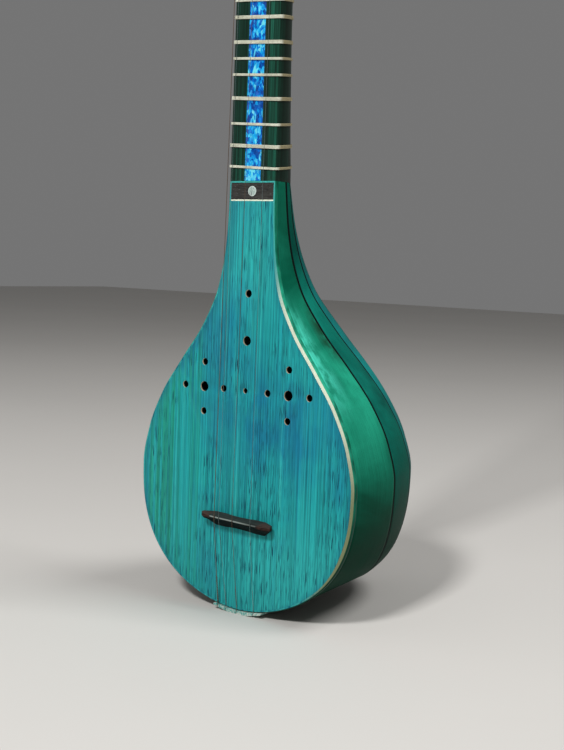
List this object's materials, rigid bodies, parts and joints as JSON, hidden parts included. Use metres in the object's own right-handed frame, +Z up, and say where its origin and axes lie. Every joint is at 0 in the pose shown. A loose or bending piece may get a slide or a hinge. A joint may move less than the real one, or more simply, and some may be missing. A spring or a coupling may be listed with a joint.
{
  "type": "setar",
  "caption": "Long-necked lute with a pear-shaped soundboard, a bowl of glued staves, tied gut frets, wire strings over a low bridge, and T-handled friction pegs.",
  "frame": {"origin": "middle of the tailpiece's flat underside, in the plane of the soundboard's front", "axes": "+Z up along the neck to the head, -Y out of the soundboard, +X to the viewer's right"},
  "size_m": [0.1568, 0.161, 0.8338],
  "materials": {
    "face_wood": "satin varnish over dyed straight grain",
    "binding_cream": "gloss",
    "plate_wood": "satin",
    "pearl_white": "gloss",
    "stave_wood": "gloss varnish over dyed wood",
    "spacer_black": "satin",
    "block_wood": "bare",
    "tail_pale": "satin, mottled",
    "neck_wood": "gloss varnish over dyed wood",
    "pearl_blue": "gloss, flaked",
    "nut_bone": "satin",
    "gut": "satin",
    "bridge_wood": "satin",
    "string_bronze": "drawn wire",
    "string_steel": "drawn wire",
    "peg_wood": "gloss varnish over dyed wood"
  },
  "bodies": {
    "instrument": {"soundboard": "face_wood", "binding": "binding_cream", "throat_plate": "plate_wood", "pearl_dot": "pearl_white", "stave_1": "stave_wood", "stave_2": "stave_wood", "stave_3": "stave_wood", "stave_4": "stave_wood", "stave_5": "stave_wood", "stave_6": "stave_wood", "stave_7": "stave_wood", "stave_8": "stave_wood", "stave_9": "stave_wood", "spacer_1": "spacer_black", "spacer_2": "spacer_black", "spacer_3": "spacer_black", "spacer_4": "spacer_black", "spacer_5": "spacer_black", "spacer_6": "spacer_black", "spacer_7": "spacer_black", "spacer_8": "spacer_black", "tail_block": "block_wood", "tailpiece": "tail_pale", "neck": "neck_wood", "neck_inlay": "pearl_blue", "nut": "nut_bone", "string_bass": "string_bronze", "string_octave": "string_steel", "string_middle": "string_bronze", "string_treble": "string_steel"},
    "fret_01": {"fret_01": "gut"},
    "fret_02": {"fret_02": "gut"},
    "fret_03": {"fret_03": "gut"},
    "fret_04": {"fret_04": "gut"},
    "fret_05": {"fret_05": "gut"},
    "fret_06": {"fret_06": "gut"},
    "fret_07": {"fret_07": "gut"},
    "fret_08": {"fret_08": "gut"},
    "fret_09": {"fret_09": "gut"},
    "fret_10": {"fret_10": "gut"},
    "fret_11": {"fret_11": "gut"},
    "fret_12": {"fret_12": "gut"},
    "fret_13": {"fret_13": "gut"},
    "fret_14": {"fret_14": "gut"},
    "fret_15": {"fret_15": "gut"},
    "fret_16": {"fret_16": "gut"},
    "fret_17": {"fret_17": "gut"},
    "fret_18": {"fret_18": "gut"},
    "fret_19": {"fret_19": "gut"},
    "fret_20": {"fret_20": "gut"},
    "fret_21": {"fret_21": "gut"},
    "fret_22": {"fret_22": "gut"},
    "fret_23": {"fret_23": "gut"},
    "fret_24": {"fret_24": "gut"},
    "fret_25": {"fret_25": "gut"},
    "bridge": {"bridge": "bridge_wood"},
    "peg_middle": {"peg_middle": "peg_wood"},
    "peg_bass": {"peg_bass": "peg_wood"},
    "peg_treble": {"peg_treble": "peg_wood"},
    "peg_octave": {"peg_octave": "peg_wood"}
  },
  "joints": [
    {"name": "fret_01_slide", "type": "slide", "parent": "instrument", "child": "fret_01", "axis": [0, 0, 1], "range_m": [-0.002, 0.003]},
    {"name": "fret_02_slide", "type": "slide", "parent": "instrument", "child": "fret_02", "axis": [0, 0, 1], "range_m": [-0.002, 0.003]},
    {"name": "fret_03_slide", "type": "slide", "parent": "instrument", "child": "fret_03", "axis": [0, 0, 1], "range_m": [-0.002, 0.003]},
    {"name": "fret_04_slide", "type": "slide", "parent": "instrument", "child": "fret_04", "axis": [0, 0, 1], "range_m": [-0.002, 0.003]},
    {"name": "fret_05_slide", "type": "slide", "parent": "instrument", "child": "fret_05", "axis": [0, 0, 1], "range_m": [-0.002, 0.003]},
    {"name": "fret_06_slide", "type": "slide", "parent": "instrument", "child": "fret_06", "axis": [0, 0, 1], "range_m": [-0.002, 0.003]},
    {"name": "fret_07_slide", "type": "slide", "parent": "instrument", "child": "fret_07", "axis": [0, 0, 1], "range_m": [-0.002, 0.003]},
    {"name": "fret_08_slide", "type": "slide", "parent": "instrument", "child": "fret_08", "axis": [0, 0, 1], "range_m": [-0.002, 0.003]},
    {"name": "fret_09_slide", "type": "slide", "parent": "instrument", "child": "fret_09", "axis": [0, 0, 1], "range_m": [-0.002, 0.003]},
    {"name": "fret_10_slide", "type": "slide", "parent": "instrument", "child": "fret_10", "axis": [0, 0, 1], "range_m": [-0.002, 0.003]},
    {"name": "fret_11_slide", "type": "slide", "parent": "instrument", "child": "fret_11", "axis": [0, 0, 1], "range_m": [-0.002, 0.003]},
    {"name": "fret_12_slide", "type": "slide", "parent": "instrument", "child": "fret_12", "axis": [0, 0, 1], "range_m": [-0.002, 0.003]},
    {"name": "fret_13_slide", "type": "slide", "parent": "instrument", "child": "fret_13", "axis": [0, 0, 1], "range_m": [-0.002, 0.003]},
    {"name": "fret_14_slide", "type": "slide", "parent": "instrument", "child": "fret_14", "axis": [0, 0, 1], "range_m": [-0.002, 0.003]},
    {"name": "fret_15_slide", "type": "slide", "parent": "instrument", "child": "fret_15", "axis": [0, 0, 1], "range_m": [-0.002, 0.003]},
    {"name": "fret_16_slide", "type": "slide", "parent": "instrument", "child": "fret_16", "axis": [0, 0, 1], "range_m": [-0.002, 0.003]},
    {"name": "fret_17_slide", "type": "slide", "parent": "instrument", "child": "fret_17", "axis": [0, 0, 1], "range_m": [-0.002, 0.003]},
    {"name": "fret_18_slide", "type": "slide", "parent": "instrument", "child": "fret_18", "axis": [0, 0, 1], "range_m": [-0.002, 0.003]},
    {"name": "fret_19_slide", "type": "slide", "parent": "instrument", "child": "fret_19", "axis": [0, 0, 1], "range_m": [-0.002, 0.003]},
    {"name": "fret_20_slide", "type": "slide", "parent": "instrument", "child": "fret_20", "axis": [0, 0, 1], "range_m": [-0.002, 0.003]},
    {"name": "fret_21_slide", "type": "slide", "parent": "instrument", "child": "fret_21", "axis": [0, 0, 1], "range_m": [-0.002, 0.003]},
    {"name": "fret_22_slide", "type": "slide", "parent": "instrument", "child": "fret_22", "axis": [0, 0, 1], "range_m": [-0.002, 0.003]},
    {"name": "fret_23_slide", "type": "slide", "parent": "instrument", "child": "fret_23", "axis": [0, 0, 1], "range_m": [-0.002, 0.003]},
    {"name": "fret_24_slide", "type": "slide", "parent": "instrument", "child": "fret_24", "axis": [0, 0, 1], "range_m": [-0.002, 0.003]},
    {"name": "fret_25_slide", "type": "slide", "parent": "instrument", "child": "fret_25", "axis": [0, 0, 1], "range_m": [-0.002, 0.003]},
    {"name": "bridge_slide", "type": "slide", "parent": "instrument", "child": "bridge", "axis": [0, 0, 1], "range_m": [-0.0015, 0.0015]},
    {"name": "peg_middle_turn", "type": "hinge", "parent": "instrument", "child": "peg_middle", "pos_m": [0, 0, 0.74177], "axis": [0, 1, 0], "continuous": true},
    {"name": "peg_bass_turn", "type": "hinge", "parent": "instrument", "child": "peg_bass", "pos_m": [0, 0.0078, 0.76583], "axis": [1, 0, 0], "continuous": true},
    {"name": "peg_treble_turn", "type": "hinge", "parent": "instrument", "child": "peg_treble", "pos_m": [0, 0, 0.79386], "axis": [0, 1, 0], "continuous": true},
    {"name": "peg_octave_turn", "type": "hinge", "parent": "instrument", "child": "peg_octave", "pos_m": [0, 0.0078, 0.8178], "axis": [1, 0, 0], "continuous": true}
  ]
}
